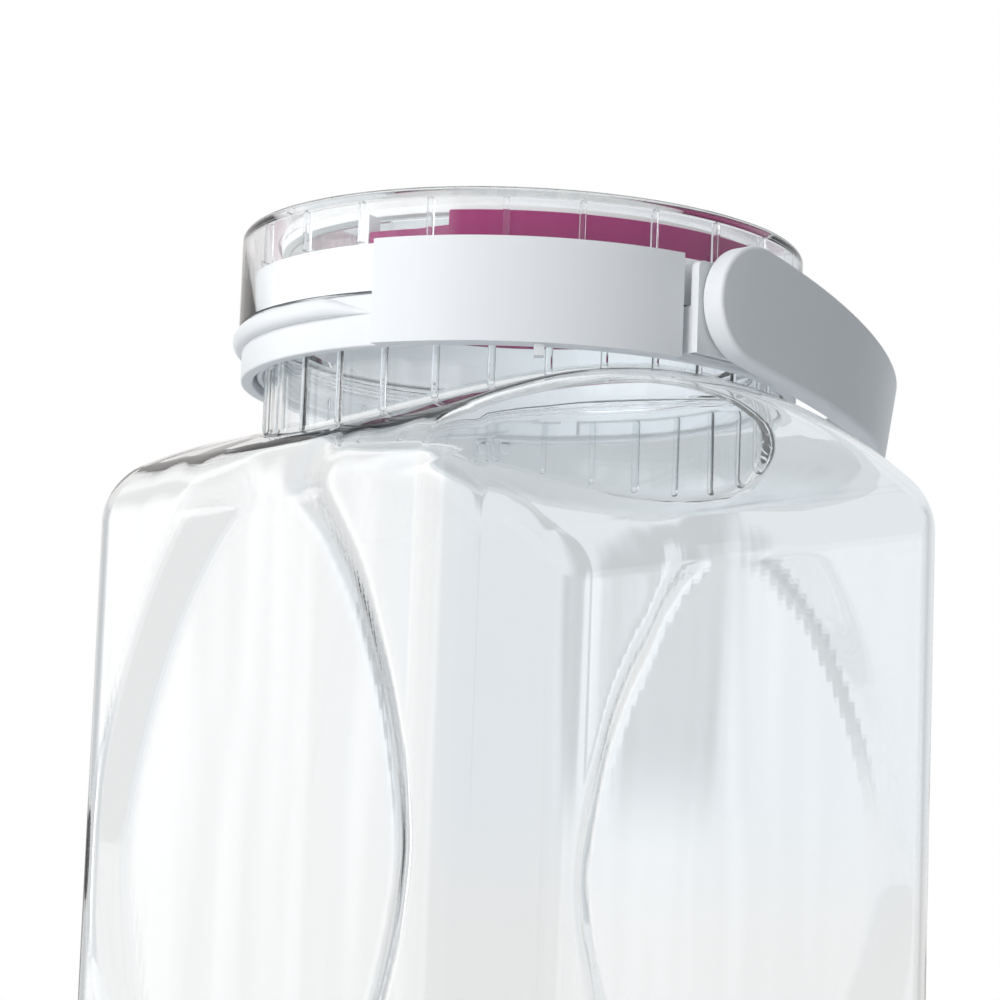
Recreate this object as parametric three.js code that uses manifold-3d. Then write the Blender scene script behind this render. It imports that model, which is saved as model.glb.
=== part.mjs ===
// A square, clear plastic storage canister with a vaulted shoulder and a wide round neck.
// A white collar snaps on to the neck and carries a swinging strap handle and two bands.
// A clear lid with a white ring and two magenta cam rails turns shut on the neck.
// Millimetres, +Z up. The origin is the centre of the base, in the plane it stands on.
// The front face looks along -Y, and the hand grips are in the -X and +X faces.
import * as THREE from 'three';
import { mergeVertices } from 'three/addons/utils/BufferGeometryUtils.js';
import Module from 'manifold-3d';

// Fits shared by all the pieces
const fitGap = 0.3;
const seatGap = 0.1;
const overrun = 0.6;

// Bottle body
const bodyWidth = 128;
const shoulderCrest = 231;
const cornerRadius = 9;
const innerCornerRadius = 1;
const bodyWall = 1.5;
const archRadius = 122;
const shoulderEdgeRadius = 8;
const baseEdgeRadius = 8;
const panelRise = 1.2;
const panelRadius = 43;
const panelStep = 3;

// Hand grips in the two side faces
const gripHalfWidth = 57.5;
const gripHalfHeight = 85;
const gripBelowCrest = 95;
const gripSquareness = 1.6;
const gripDepth = 4;
const gripEdgeShare = 0.18;

// Bottle neck, and the narrower finish above it that the lid turns on
const neckRadius = 52;
const neckWall = 1.8;
const neckFillet = 2;
const neckRibCount = 30;
const neckRibProud = 0.8;
const neckRibWidth = 1.5;
const neckRibTop = 4;
const neckRibStartAngle = 5;
const snapBeadProud = 0.8;
const snapBeadHeight = 1.4;
const finishInset = 2.4;
const finishWall = 2;
const rimRound = 0.8;
const lugProud = 1.4;
const lugHeight = 2;
const lugAngle = 15;

// Collar, with heights counted from its lower edge
const collarAboveCrest = 2;
const pivotAngle = 7.7;
const hubWall = 2;
const hubLift = 1.2;
const hubLipHeight = 1.7;
const collarInset = 0.8;
const skirtWall = 2.5;
const skirtHeight = 6.3;
const webThickness = 2;
const collarRound = 0.6;
const beadHeight = 4;
const beadProud = 1.6;
const beadShoulderShare = 0.7;
const beadTaperAngle = 14;
const hubToothCount = 6;
const hubToothAngle = 4;
const earWidth = 24.6;
const earFoot = 1;
const earHeight = 19.2;
const earRound = 1.5;
const studRadius = 4;
const studLength = 1.9;

// Bands on the collar
const bandHeight = 20.4;
const bandThickness = 2.3;
const bandAngle = 59.7;
const bandToEar = 1.35;
const bandRound = 0.7;
const clipWidth = 2;
const clipDrop = 2.4;
const clipReach = 2.6;
const clipAngle = 32;

// Strap handle
const pivotHeight = 11.6;
const strapClearance = 0.7;
const strapThickness = 5.2;
const strapReach = 80;
const strapSquareness = 2.65;
const strapEndRadius = 11.7;
const strapWidth = 18;
const strapTaperLength = 69;
const strapRound = 0.8;
const strapTipWidth = 2.4;
const strapDroop = 12.4;
const strapSteps = 30;

// Lid
const lidRise = 10.2;
const shellWall = 1.8;
const shellTopThickness = 2;
const shellRound = 1.6;
const shellRoundShare = 0.3;
const shellRimWidth = 7;
const shellTopRecess = 1.2;
const shellRibCount = 24;
const shellRibWidth = 1.2;
const shellRibDepth = 1.3;
const shellRibStartAngle = 4.3;
const ringThickness = 4.9;
const ringRound = 0.5;
const ringFoot = 0.5;
const railThickness = 3.6;
const railStripHeight = 2.6;
const railRampHeight = 0.6;
const railHeight = 6.1;
const railAngle = 115;
const railStripAngle = 11;
const railNotchAngle = 17.5;
const railLeadAngle = 4.2;
const postAngle = 2.1;
const gasketWidth = 4;
const gasketThickness = 1.7;
const gasketLip = 0.5;

// How finely the curved faces are cut
const flatShares = [0, 0.3, 0.6, 0.74, 0.87, 1];
const crownShare = 0.5;
const cornerSteps = 4;
const roundSteps = 4;
const innerRoundSteps = 2;
const rodSteps = 16;
const circleSteps = 56;
const arcStep = 6.5;

// Radii that follow from the sizes above, from the neck outwards
const bodyHalf = bodyWidth / 2;
const finishRadius = neckRadius - finishInset;
const lugRadius = finishRadius + lugProud;
const ringInner = lugRadius + fitGap;
const ringOuter = ringInner + ringThickness;
const railOuter = ringInner + railThickness;
const shellInner = ringOuter + fitGap;
const shellOuter = shellInner + shellWall;
const shellRibInner = shellInner - shellRibDepth;
const hubInner = neckRadius + fitGap;
const hubOuter = hubInner + hubWall;
const hubRelief = neckRadius + Math.max(neckRibProud, snapBeadProud) + fitGap;
const skirtOuter = shellOuter - collarInset;
const skirtInner = skirtOuter - skirtWall;
const bandInner = skirtOuter + fitGap;
const bandRebate = shellOuter + fitGap;
const bandOuter = bandInner + bandThickness;
const strapInner = bandOuter + strapClearance;
const strapOuter = strapInner + strapThickness;
const earInner = shellOuter + fitGap;
const earFace = strapInner - fitGap;

// Heights that follow, from the collar's lower edge upwards
const collarBottom = shoulderCrest + collarAboveCrest;
const hubBottom = collarBottom + hubLift;
const lipBottom = collarBottom + neckRibTop + fitGap;
const lipTop = lipBottom + hubLipHeight;
const snapBeadBottom = lipTop + fitGap;
const snapBeadTop = snapBeadBottom + snapBeadHeight;
const beadBottom = collarBottom + skirtHeight;
const collarTop = beadBottom + beadHeight;
const shellBottom = collarTop + fitGap;
const ringBottom = collarTop + ringFoot;
const bandTop = collarBottom + bandHeight;
const lidTop = bandTop + lidRise;
const shellCeiling = lidTop - shellTopThickness;
const gasketBottom = shellCeiling - gasketThickness;
const rimTop = gasketBottom - seatGap;
const finishBottom = collarTop + seatGap;
const neckTop = snapBeadTop + (finishBottom - snapBeadTop) / 3;
const lugBottom = bandTop + railStripHeight + railRampHeight + fitGap;
const pivotZ = collarBottom + pivotHeight;

const wasm = await Module();
wasm.setup();

const radians = THREE.MathUtils.degToRad;
const degrees = THREE.MathUtils.radToDeg;

// Angles round the neck at the front: the band's two ends, and the start of the cam rail
const bandTo = pivotAngle - degrees((earWidth / 2 + bandToEar) / skirtOuter);
const bandFrom = bandTo - bandAngle;
const railFrom = bandFrom - railLeadAngle;

// The collar, bands and rails repeat after half a turn
const sides = [0, 180];

// A point at an angle round the neck: 0 is the front, -Y, and 90 is +X
function polar(radius, angle, z) {
  return new THREE.Vector3(radius * Math.sin(radians(angle)), -radius * Math.cos(radians(angle)), z);
}

// Manifold solid of a closed geometry
function solidOf(geometry) {
  const bare = geometry.clone();
  bare.deleteAttribute('normal');
  bare.deleteAttribute('uv');
  const merged = mergeVertices(bare);
  const vertProperties = new Float32Array(merged.attributes.position.array);
  const triVerts = new Uint32Array(merged.index.array);
  return new wasm.Manifold(new wasm.Mesh({ numProp: 3, vertProperties, triVerts }));
}

function geometryOf(solid) {
  const mesh = solid.getMesh();
  const geometry = new THREE.BufferGeometry();
  geometry.setAttribute('position', new THREE.BufferAttribute(new Float32Array(mesh.vertProperties), 3));
  geometry.setIndex(new THREE.BufferAttribute(new Uint32Array(mesh.triVerts), 1));
  geometry.computeVertexNormals();
  return geometry;
}

function joined(first, others) {
  return geometryOf(others.reduce((sum, other) => sum.add(solidOf(other)), solidOf(first)));
}

// Closed skin over rows of points. Each row runs counter-clockwise seen from the last row's side.
// Poles close the skin's ends, and without them the end rows are closed by flat fans.
function skin(rows, firstPole, lastPole) {
  const count = rows[0].length;
  const points = rows.flat();
  points.push(firstPole, lastPole);
  const first = points.length - 2;
  const last = points.length - 1;
  const index = [];
  for (let i = 0; i < count; i++) {
    const j = (i + 1) % count;
    index.push(first, j, i);
    for (let r = 0; r + 1 < rows.length; r++) {
      const a = r * count;
      const b = a + count;
      index.push(a + i, a + j, b + j, a + i, b + j, b + i);
    }
    const top = (rows.length - 1) * count;
    index.push(last, top + i, top + j);
  }
  const geometry = new THREE.BufferGeometry().setFromPoints(points);
  geometry.setIndex(index);
  return geometry;
}

function centreOf(row) {
  return row.reduce((sum, p) => sum.add(p), new THREE.Vector3()).divideScalar(row.length);
}

// Solid swept round the neck from one angle to another. The section gives its outline as
// [radius, z] pairs, counter-clockwise with the radius to the right, at a share of the way.
function arcSolid(from, to, section) {
  const steps = Math.max(1, Math.ceil((to - from) / arcStep));
  const rows = [];
  for (let k = 0; k <= steps; k++) {
    const share = k / steps;
    rows.push(section(share).map(([r, z]) => polar(r, from + (to - from) * share, z)).reverse());
  }
  return skin(rows, centreOf(rows[0]), centreOf(rows[steps]));
}

function box(r0, r1, z0, z1) {
  return () => [[r0, z0], [r1, z0], [r1, z1], [r0, z1]];
}

function lathe(profile) {
  const points = [...profile, profile[0]].map(([r, z]) => new THREE.Vector2(r, z));
  return new THREE.LatheGeometry(points, circleSteps).rotateX(Math.PI / 2);
}

function piece(name, geometry, color, roughness, opacity = 1) {
  const look = { color, roughness, metalness: 0, opacity, transparent: opacity < 1, flatShading: true };
  const mesh = new THREE.Mesh(geometry, new THREE.MeshStandardMaterial(look));
  mesh.name = name;
  return mesh;
}

const clearPet = 0xe6edf0;
const whitePlastic = 0xf2f3f4;
const magentaPlastic = 0x8f3d6e;
const siliconeWhite = 0xe9e9e4;

// Bottle. Every row goes once round it with the same number of points, four equal quarters.
const flatSteps = flatShares.length - 1;
const pointsPerQuarter = 2 * flatSteps + cornerSteps;
const pointsRound = 4 * pointsPerQuarter;

// A point of the square outline with rounded corners, set in from the body's wall
function squarePoint(i, inset) {
  const quarter = Math.floor(i / pointsPerQuarter);
  const k = i % pointsPerQuarter;
  const half = bodyHalf - inset;
  const radius = Math.max(cornerRadius - inset, innerCornerRadius);
  const straight = half - radius;
  const p = new THREE.Vector2();
  if (k <= flatSteps) {
    p.set(half, straight * flatShares[k]);
  } else if (k < flatSteps + cornerSteps) {
    const turn = (k - flatSteps) / cornerSteps * Math.PI / 2;
    p.set(straight + radius * Math.cos(turn), straight + radius * Math.sin(turn));
  } else {
    p.set(straight * flatShares[pointsPerQuarter - k], half);
  }
  return p.rotateAround(new THREE.Vector2(), quarter * Math.PI / 2);
}

function roundPoint(i, radius) {
  const turn = i / pointsRound * 2 * Math.PI;
  return new THREE.Vector2(radius * Math.cos(turn), radius * Math.sin(turn));
}

// Height of the vaulted shoulder, whose ridge runs from front to back
function crown(x) {
  return shoulderCrest - archRadius + Math.sqrt(archRadius ** 2 - x ** 2);
}

// How far a side face is drawn in at a point of the hand grip, which is pointed at its top and
// bottom and runs out in the shoulder's rounded edge
function gripAt(x, y, z) {
  if (Math.abs(y) > Math.abs(x)) return 0;
  const across = Math.abs(y) / gripHalfWidth;
  const along = Math.abs(z - shoulderCrest + gripBelowCrest) / gripHalfHeight;
  const reach = (across ** gripSquareness + along ** gripSquareness) ** (1 / gripSquareness);
  return gripDepth * THREE.MathUtils.smoothstep(1 - reach, 0, gripEdgeShare);
}

function row(place) {
  return Array.from({ length: pointsRound }, (_, i) => place(i));
}

function levelRow(plan, z) {
  return row((i) => {
    const p = plan(i);
    return new THREE.Vector3(p.x, p.y, z);
  });
}

function wallRow(inset, z) {
  return row((i) => {
    const p = squarePoint(i, inset);
    return new THREE.Vector3(p.x - Math.sign(p.x) * gripAt(p.x, p.y, z), p.y, z);
  });
}

// Quarter round from the wall on to the shoulder, at a turn of 0 to 90 degrees
function shoulderRow(wall, turn) {
  const radius = shoulderEdgeRadius - wall;
  return row((i) => {
    const p = squarePoint(i, wall + radius * (1 - Math.cos(turn)));
    const z = crown(p.x) - wall - radius * (1 - Math.sin(turn));
    const foot = Math.min(z, crown(bodyHalf) - shoulderEdgeRadius);
    const drawnIn = gripAt(p.x, p.y, foot) * Math.cos(turn);
    return new THREE.Vector3(p.x - Math.sign(p.x) * drawnIn, p.y, z);
  });
}

function baseRow(wall, turn) {
  const radius = baseEdgeRadius - wall;
  const inset = wall + radius * (1 - Math.cos(turn));
  return levelRow((i) => squarePoint(i, inset), wall + radius * (1 - Math.sin(turn)));
}

// Row on the shoulder between its edge and the neck
function crownRow(wall, neck, share) {
  return row((i) => {
    const p = squarePoint(i, shoulderEdgeRadius).lerp(roundPoint(i, neck), share);
    return new THREE.Vector3(p.x, p.y, crown(p.x) - wall);
  });
}

function filletRow(turn) {
  const radius = neckRadius + neckFillet * (1 - Math.sin(turn));
  return row((i) => {
    const foot = roundPoint(i, neckRadius + neckFillet);
    const p = roundPoint(i, radius);
    return new THREE.Vector3(p.x, p.y, crown(foot.x) + neckFillet * (1 - Math.cos(turn)));
  });
}

function neckRow(radius, z) {
  return levelRow((i) => roundPoint(i, radius), z);
}

function turns(steps) {
  return Array.from({ length: steps + 1 }, (_, k) => k / steps * Math.PI / 2);
}

function makeBottle() {
  const wallBottom = baseEdgeRadius;
  const wallTop = crown(bodyHalf) - shoulderEdgeRadius;
  const wallLevelShares = [0.22, 0.26, 0.3, 0.4, 0.52, 0.65, 0.78, 0.9];
  const wallLevels = wallLevelShares.map((share) => THREE.MathUtils.lerp(wallBottom, wallTop, share));
  const finishInner = finishRadius - finishWall;
  const neckInner = neckRadius - neckWall;
  const outside = [
    neckRow(panelRadius, panelRise),
    neckRow(panelRadius + panelStep, 0),
    ...turns(roundSteps - 1).reverse().map((turn) => baseRow(0, turn)),
    ...wallLevels.map((z) => wallRow(0, z)),
    ...turns(roundSteps).map((turn) => shoulderRow(0, turn)),
    crownRow(0, neckRadius + neckFillet, crownShare),
    ...turns(innerRoundSteps).map(filletRow),
    neckRow(neckRadius, snapBeadBottom),
    neckRow(neckRadius + snapBeadProud, snapBeadBottom + snapBeadHeight / 3),
    neckRow(neckRadius + snapBeadProud, snapBeadTop - snapBeadHeight / 3),
    neckRow(neckRadius, snapBeadTop),
    neckRow(neckRadius, neckTop),
    neckRow(finishRadius, finishBottom),
    neckRow(finishRadius, rimTop - rimRound),
    neckRow(finishRadius - rimRound, rimTop),
  ];
  const inside = [
    neckRow(finishInner, rimTop),
    neckRow(finishInner, finishBottom),
    neckRow(neckInner, neckTop),
    crownRow(bodyWall, neckInner, 1),
    crownRow(bodyWall, neckInner, crownShare),
    ...turns(innerRoundSteps).reverse().map((turn) => shoulderRow(bodyWall, turn)),
    ...wallLevels.reverse().map((z) => wallRow(bodyWall, z)),
    ...turns(innerRoundSteps).map((turn) => baseRow(bodyWall, turn)),
    neckRow(panelRadius + panelStep, bodyWall),
    neckRow(panelRadius, panelRise + bodyWall),
  ];
  const shell = skin(
    [...outside, ...inside],
    new THREE.Vector3(0, 0, panelRise),
    new THREE.Vector3(0, 0, panelRise + bodyWall),
  );

  // Upright ribs round the neck, which the collar sits on and is keyed between
  const pitch = 360 / neckRibCount;
  const halfRib = degrees(neckRibWidth / 2 / neckRadius);
  const ribs = Array.from({ length: neckRibCount }, (_, k) => {
    const angle = neckRibStartAngle + k * pitch;
    const foot = crown(polar(neckRadius, angle, 0).x) - bodyWall / 3;
    const outline = box(neckRadius - overrun, neckRadius + neckRibProud, foot, collarBottom + neckRibTop);
    return arcSolid(angle - halfRib, angle + halfRib, outline);
  });

  // Two lugs on the finish, which the lid's cam rails turn under
  const lugOutline = box(finishRadius - overrun, lugRadius, lugBottom, lugBottom + lugHeight);
  const lugs = sides.map((side) => {
    const to = railFrom + railNotchAngle - degrees(fitGap / lugRadius) + side;
    return arcSolid(to - lugAngle, to, lugOutline);
  });
  return joined(shell, [...ribs, ...lugs]);
}

// Collar: hub on the neck, web, skirt, two grip beads, and two ears with the pivots' holes
function makeCollar() {
  const webBottom = collarTop - webThickness;
  const ring = lathe([
    [hubRelief, hubBottom],
    [hubOuter, hubBottom],
    [hubOuter, webBottom],
    [skirtInner, webBottom],
    [skirtInner, collarBottom],
    [skirtOuter - collarRound, collarBottom],
    [skirtOuter, collarBottom + collarRound],
    [skirtOuter, collarTop - collarRound],
    [skirtOuter - collarRound, collarTop],
    [hubInner, collarTop],
    [hubInner, snapBeadTop + fitGap],
    [hubRelief, snapBeadTop + fitGap],
    [hubRelief, lipTop],
    [hubInner, lipTop],
    [hubInner, lipBottom],
    [hubRelief, lipBottom],
  ]);

  // The beads fade out towards the bands and the ears
  const beadFrom = pivotAngle + degrees(earWidth / 2 / skirtOuter) - sides[1];
  const beadTo = bandFrom - degrees(fitGap / skirtOuter);
  const taperShare = beadTaperAngle / (beadTo - beadFrom);
  const beadSection = (share) => {
    const fade = THREE.MathUtils.smoothstep(Math.min(share, 1 - share), 0, taperShare);
    const proud = overrun / 2 + beadProud * fade;
    const top = beadBottom + overrun + (beadHeight - overrun) * fade;
    const middle = (beadBottom + top) / 2;
    return [
      [skirtOuter - overrun, beadBottom],
      [skirtOuter + proud * beadShoulderShare, beadBottom + (middle - beadBottom) / 3],
      [skirtOuter + proud, middle],
      [skirtOuter + proud * beadShoulderShare, top - (top - middle) / 3],
      [skirtOuter - overrun, top],
    ];
  };
  const beads = sides.map((side) => arcSolid(beadFrom + side, beadTo + side, beadSection));

  // Teeth inside the hub stand between the neck's ribs and stop the collar turning
  const outline = box(hubInner, hubRelief + overrun, hubBottom, lipBottom + overrun);
  const teeth = Array.from({ length: hubToothCount }, (_, k) => {
    const angle = neckRibStartAngle + 360 / neckRibCount / 2 + k * 360 / hubToothCount;
    return arcSolid(angle - hubToothAngle / 2, angle + hubToothAngle / 2, outline);
  });

  // Ear: a flat plate outside the lid, on a root that joins it to the skirt
  const ears = sides.flatMap((side) => {
    const half = earWidth / 2;
    const outline = new THREE.Shape();
    outline.moveTo(-half, earFoot);
    outline.lineTo(half, earFoot);
    outline.absarc(half - earRound, earHeight - earRound, earRound, 0, Math.PI / 2, false);
    outline.absarc(earRound - half, earHeight - earRound, earRound, Math.PI / 2, Math.PI, false);
    const plate = new THREE.ExtrudeGeometry(outline, {
      depth: earFace - earInner, bevelEnabled: false, curveSegments: roundSteps,
    });
    const rootHeight = collarTop - collarBottom - earFoot;
    const rootDepth = earInner + overrun - skirtInner;
    const root = new THREE.BoxGeometry(earWidth, rootHeight, rootDepth);
    root.translate(0, earFoot + rootHeight / 2, overrun - rootDepth / 2);
    return [plate, root].map((part) => part
      .rotateX(Math.PI / 2)
      .translate(0, -earInner, collarBottom)
      .applyMatrix4(toPivot(side)));
  });
  const body = solidOf(joined(ring, [...beads, ...teeth, ...ears]));
  const bores = sides.map((side) => solidOf(pivotRod(studRadius + fitGap, earInner - overrun,
    earFace + overrun, side)));
  return geometryOf(bores.reduce((rest, bore) => rest.subtract(bore), body));
}

// Turn that takes a part made at the front, on -Y, to either pivot
function toPivot(side) {
  return new THREE.Matrix4().makeRotationZ(radians(pivotAngle + side));
}

// Round rod on the pivot axis between two distances from the neck's centre line
function pivotRod(radius, near, far, side) {
  return new THREE.CylinderGeometry(radius, radius, far - near, rodSteps)
    .translate(0, -(near + far) / 2, pivotZ)
    .applyMatrix4(toPivot(side));
}

// Band: a curved plate over the collar's skirt, thinner where the lid turns inside it, with a
// clip that hooks under the skirt
function makeBand(side) {
  const middle = bandFrom + clipAngle + side;
  const plate = arcSolid(bandFrom + side, bandTo + side, (share) => {
    const edge = Math.min(share, 1 - share) === 0 ? bandRound : 0;
    const outer = bandOuter - edge;
    return [
      [bandInner, collarBottom],
      [outer - bandRound, collarBottom],
      [outer, collarBottom + bandRound],
      [outer, bandTop - bandRound],
      [outer - bandRound, bandTop],
      [bandRebate, bandTop],
      [bandRebate, collarTop],
      [bandInner, collarTop],
    ];
  });
  const halfClip = degrees(clipWidth / 2 / bandOuter);
  const stem = box(bandInner, bandOuter - bandRound, collarBottom - clipDrop, collarBottom + overrun);
  const hook = box(bandOuter - bandRound - clipReach, bandOuter - bandRound,
    collarBottom - clipDrop, collarBottom - fitGap);
  const clip = [stem, hook].map((part) => arcSolid(middle - halfClip, middle + halfClip, part));
  return joined(plate, clip);
}

// Strap handle: a flat strap bent to a square-shouldered U, with round ends on the pivots.
// It is laid out along its length, which starts one end radius before the first pivot.
function makeHandle() {
  const steps = 44;
  const outline = Array.from({ length: steps + 1 }, (_, k) => {
    const turn = Math.PI * k / steps;
    const across = Math.sign(Math.cos(turn)) * Math.abs(Math.cos(turn)) ** (2 / strapSquareness);
    return new THREE.Vector2(strapOuter * across, strapReach * Math.sin(turn) ** (2 / strapSquareness));
  });
  const curve = new THREE.CatmullRomCurve3(outline.map((p) => new THREE.Vector3(p.x, p.y, 0)));
  const length = curve.getLength();
  const up = new THREE.Vector3(0, 0, 1);

  // Place and outward direction at a distance along the strap; past a pivot it runs straight
  const at = (distance) => {
    const inside = THREE.MathUtils.clamp(distance, 0, length);
    const point = curve.getPointAt(inside / length);
    const tangent = curve.getTangentAt(inside / length);
    if (distance < 0) tangent.set(0, 1, 0);
    if (distance > length) tangent.set(0, -1, 0);
    point.addScaledVector(tangent, distance - inside);
    return { point, out: new THREE.Vector3().crossVectors(tangent, up) };
  };
  const halfWidth = (distance) => {
    const fromEnd = Math.min(distance, length - distance);
    if (fromEnd < 0) return Math.max(Math.sqrt(strapEndRadius ** 2 - fromEnd ** 2), strapTipWidth / 2);
    const taper = THREE.MathUtils.smoothstep(fromEnd, 0, strapTaperLength);
    return THREE.MathUtils.lerp(strapEndRadius, strapWidth / 2, taper);
  };
  const endShares = [1, 0.97, 0.88, 0.74, 0.55, 0.3];
  const ends = endShares.map((share) => share * strapEndRadius);
  const middles = Array.from({ length: strapSteps + 1 }, (_, k) => length * k / strapSteps);
  const distances = [
    ...ends.map((d) => -d),
    ...middles,
    ...ends.reverse().map((d) => length + d),
  ];
  const rows = distances.map((distance) => {
    const { point, out } = at(distance);
    const half = halfWidth(distance);
    const section = [
      [0, strapRound - half],
      [-strapRound, -half],
      [strapRound - strapThickness, -half],
      [-strapThickness, strapRound - half],
      [-strapThickness, half - strapRound],
      [strapRound - strapThickness, half],
      [-strapRound, half],
      [0, half - strapRound],
    ];
    return section.map(([depth, across]) => point.clone()
      .addScaledVector(out, depth)
      .addScaledVector(up, across));
  });
  const strap = skin(rows, centreOf(rows[0]), centreOf(rows[rows.length - 1]));

  // The strap was laid out flat with its first pivot on +X: turn that to the front pivot,
  // lean the strap down by its droop, and put it at the height of the pivots
  strap.rotateX(-radians(strapDroop));
  strap.rotateZ(-Math.PI / 2);
  strap.translate(0, 0, pivotZ);
  strap.applyMatrix4(toPivot(0));
  const studs = sides.map((side) => pivotRod(studRadius, strapInner - studLength,
    strapInner + overrun, side));
  return joined(strap, studs);
}

// Clear lid shell, with upright ribs inside its wall above the white ring
function makeShell() {
  const rimInner = shellOuter - shellRimWidth;
  const cap = lathe([
    [shellInner, shellBottom],
    [shellOuter, shellBottom],
    [shellOuter, lidTop - shellRound],
    [shellOuter - shellRound * shellRoundShare, lidTop - shellRound * shellRoundShare],
    [shellOuter - shellRound, lidTop],
    [rimInner, lidTop],
    [rimInner - shellTopRecess, lidTop - shellTopRecess],
    [0, lidTop - shellTopRecess],
    [0, shellCeiling - shellTopRecess],
    [finishRadius - finishWall - gasketWidth, shellCeiling - shellTopRecess],
    [finishRadius - finishWall - gasketWidth / 2, shellCeiling],
    [shellInner, shellCeiling],
  ]);
  const pitch = 360 / shellRibCount;
  const halfRib = degrees(shellRibWidth / 2 / shellInner);
  const outline = box(shellRibInner, shellInner + overrun, bandTop + fitGap, shellCeiling + overrun);
  const ribs = Array.from({ length: shellRibCount }, (_, k) => {
    const angle = shellRibStartAngle + k * pitch;
    return arcSolid(angle - halfRib, angle + halfRib, outline);
  });
  return joined(cap, ribs);
}

// White ring inside the lid, with a post that holds the start of each rail
function makeLidRing() {
  const ring = lathe([
    [ringInner, ringBottom + ringRound],
    [ringInner + ringRound, ringBottom],
    [ringOuter, ringBottom],
    [ringOuter, bandTop],
    [ringInner, bandTop],
  ]);
  const outline = box(ringInner, railOuter, bandTop - overrun, bandTop + railHeight);
  const posts = sides.map((side) => {
    const to = railFrom - degrees(seatGap / railOuter) + side;
    return arcSolid(to - postAngle, to, outline);
  });
  return joined(ring, posts);
}

// Cam rail: a thin strip, a short ramp, and a tall part whose square end stops the lug
function makeRail(side) {
  const from = railFrom + side;
  const strip = box(ringInner, railOuter, bandTop, bandTop + railStripHeight);
  const ramp = (share) => {
    const top = bandTop + railStripHeight + railRampHeight * share;
    return [[ringInner, bandTop], [railOuter, bandTop], [railOuter, top], [ringInner, top]];
  };
  const tall = box(ringInner, railOuter, bandTop, bandTop + railHeight);
  const overlap = degrees(overrun / railOuter);
  return joined(arcSolid(from, from + railStripAngle + overlap, strip), [
    arcSolid(from + railStripAngle, from + railNotchAngle + overlap, ramp),
    arcSolid(from + railNotchAngle, from + railAngle, tall),
  ]);
}

// Silicone gasket between the rim and the lid, hollowed underneath so that it seals on two lips
function makeGasket() {
  const middle = finishRadius - finishWall / 2;
  const inner = middle - gasketWidth / 2;
  const outer = Math.min(middle + gasketWidth / 2, ringInner - fitGap);
  return lathe([
    [inner, gasketBottom],
    [middle, gasketBottom + gasketLip],
    [outer, gasketBottom],
    [outer, shellCeiling],
    [inner, shellCeiling],
  ]);
}

const canister = new THREE.Group();
canister.add(piece('bottle', makeBottle(), clearPet, 0.05, 0.35));
canister.add(piece('collar', makeCollar(), whitePlastic, 0.35));
canister.add(piece('front_band', makeBand(sides[0]), whitePlastic, 0.3));
canister.add(piece('back_band', makeBand(sides[1]), whitePlastic, 0.3));
canister.add(piece('handle_strap', makeHandle(), whitePlastic, 0.35));
canister.add(piece('lid_shell', makeShell(), clearPet, 0.05, 0.35));
canister.add(piece('lid_ring', makeLidRing(), whitePlastic, 0.35));
canister.add(piece('front_cam_rail', makeRail(sides[0]), magentaPlastic, 0.35));
canister.add(piece('back_cam_rail', makeRail(sides[1]), magentaPlastic, 0.35));
canister.add(piece('gasket', makeGasket(), siliconeWhite, 0.6));

export default canister;
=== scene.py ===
"""The looks of a square, clear storage canister with a swinging strap handle and a twist-off lid.

Metres, +Z up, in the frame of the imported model: the origin is the centre of the base, the
front face looks along -Y, and the handle hangs over the +X side. Sizes below are millimetres
times MM. Angles round the neck are degrees, 0 at the front and 90 at +X.
"""
import math

import bmesh
import bpy
import numpy as np
from mathutils import Matrix, Vector


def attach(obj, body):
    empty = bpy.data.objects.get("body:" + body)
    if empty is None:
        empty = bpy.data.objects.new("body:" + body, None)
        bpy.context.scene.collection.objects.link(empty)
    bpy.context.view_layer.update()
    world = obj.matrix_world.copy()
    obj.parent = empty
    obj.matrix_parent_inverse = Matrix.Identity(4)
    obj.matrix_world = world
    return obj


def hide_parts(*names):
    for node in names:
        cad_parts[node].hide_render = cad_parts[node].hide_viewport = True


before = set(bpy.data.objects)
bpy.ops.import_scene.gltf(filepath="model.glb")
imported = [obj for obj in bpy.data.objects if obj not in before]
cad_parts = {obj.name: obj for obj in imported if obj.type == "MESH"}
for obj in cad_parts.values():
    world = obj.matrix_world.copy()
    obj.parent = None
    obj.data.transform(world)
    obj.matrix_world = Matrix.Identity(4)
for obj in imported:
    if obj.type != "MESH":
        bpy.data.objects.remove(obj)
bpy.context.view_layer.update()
scene = bpy.context.scene
scene.view_settings.view_transform = "Standard"

MM = 0.001

# Camera. It stands low at the near corner, a little below the shoulder, and looks up at the
# neck, so that the grips in the left face and the front face both show.
camera_place = Vector((-0.3845, -0.5123, 0.1183))
camera_heading = math.radians(40.358)
camera_rise = math.radians(6.550)
camera_roll = math.radians(1.637)
camera_lens = 112.16
camera_reach = 20

camera_data = bpy.data.cameras.new("camera")
camera_data.sensor_width = 36
camera_data.lens = camera_lens
camera_data.shift_x = -0.2
camera_data.shift_y = 0.1
camera_data.clip_end = camera_reach
camera = bpy.data.objects.new("camera", camera_data)
scene.collection.objects.link(camera)
looking = Vector((
    math.sin(camera_heading) * math.cos(camera_rise),
    math.cos(camera_heading) * math.cos(camera_rise),
    math.sin(camera_rise),
))
level = Vector((math.cos(camera_heading), -math.sin(camera_heading), 0))
upright = level.cross(looking)
sideways = level * math.cos(camera_roll) + upright * math.sin(camera_roll)
upwards = upright * math.cos(camera_roll) - level * math.sin(camera_roll)
camera_turn = Matrix((sideways, upwards, -looking)).transposed()
camera.matrix_world = Matrix.Translation(camera_place) @ camera_turn.to_4x4()
scene.camera = camera


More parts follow.
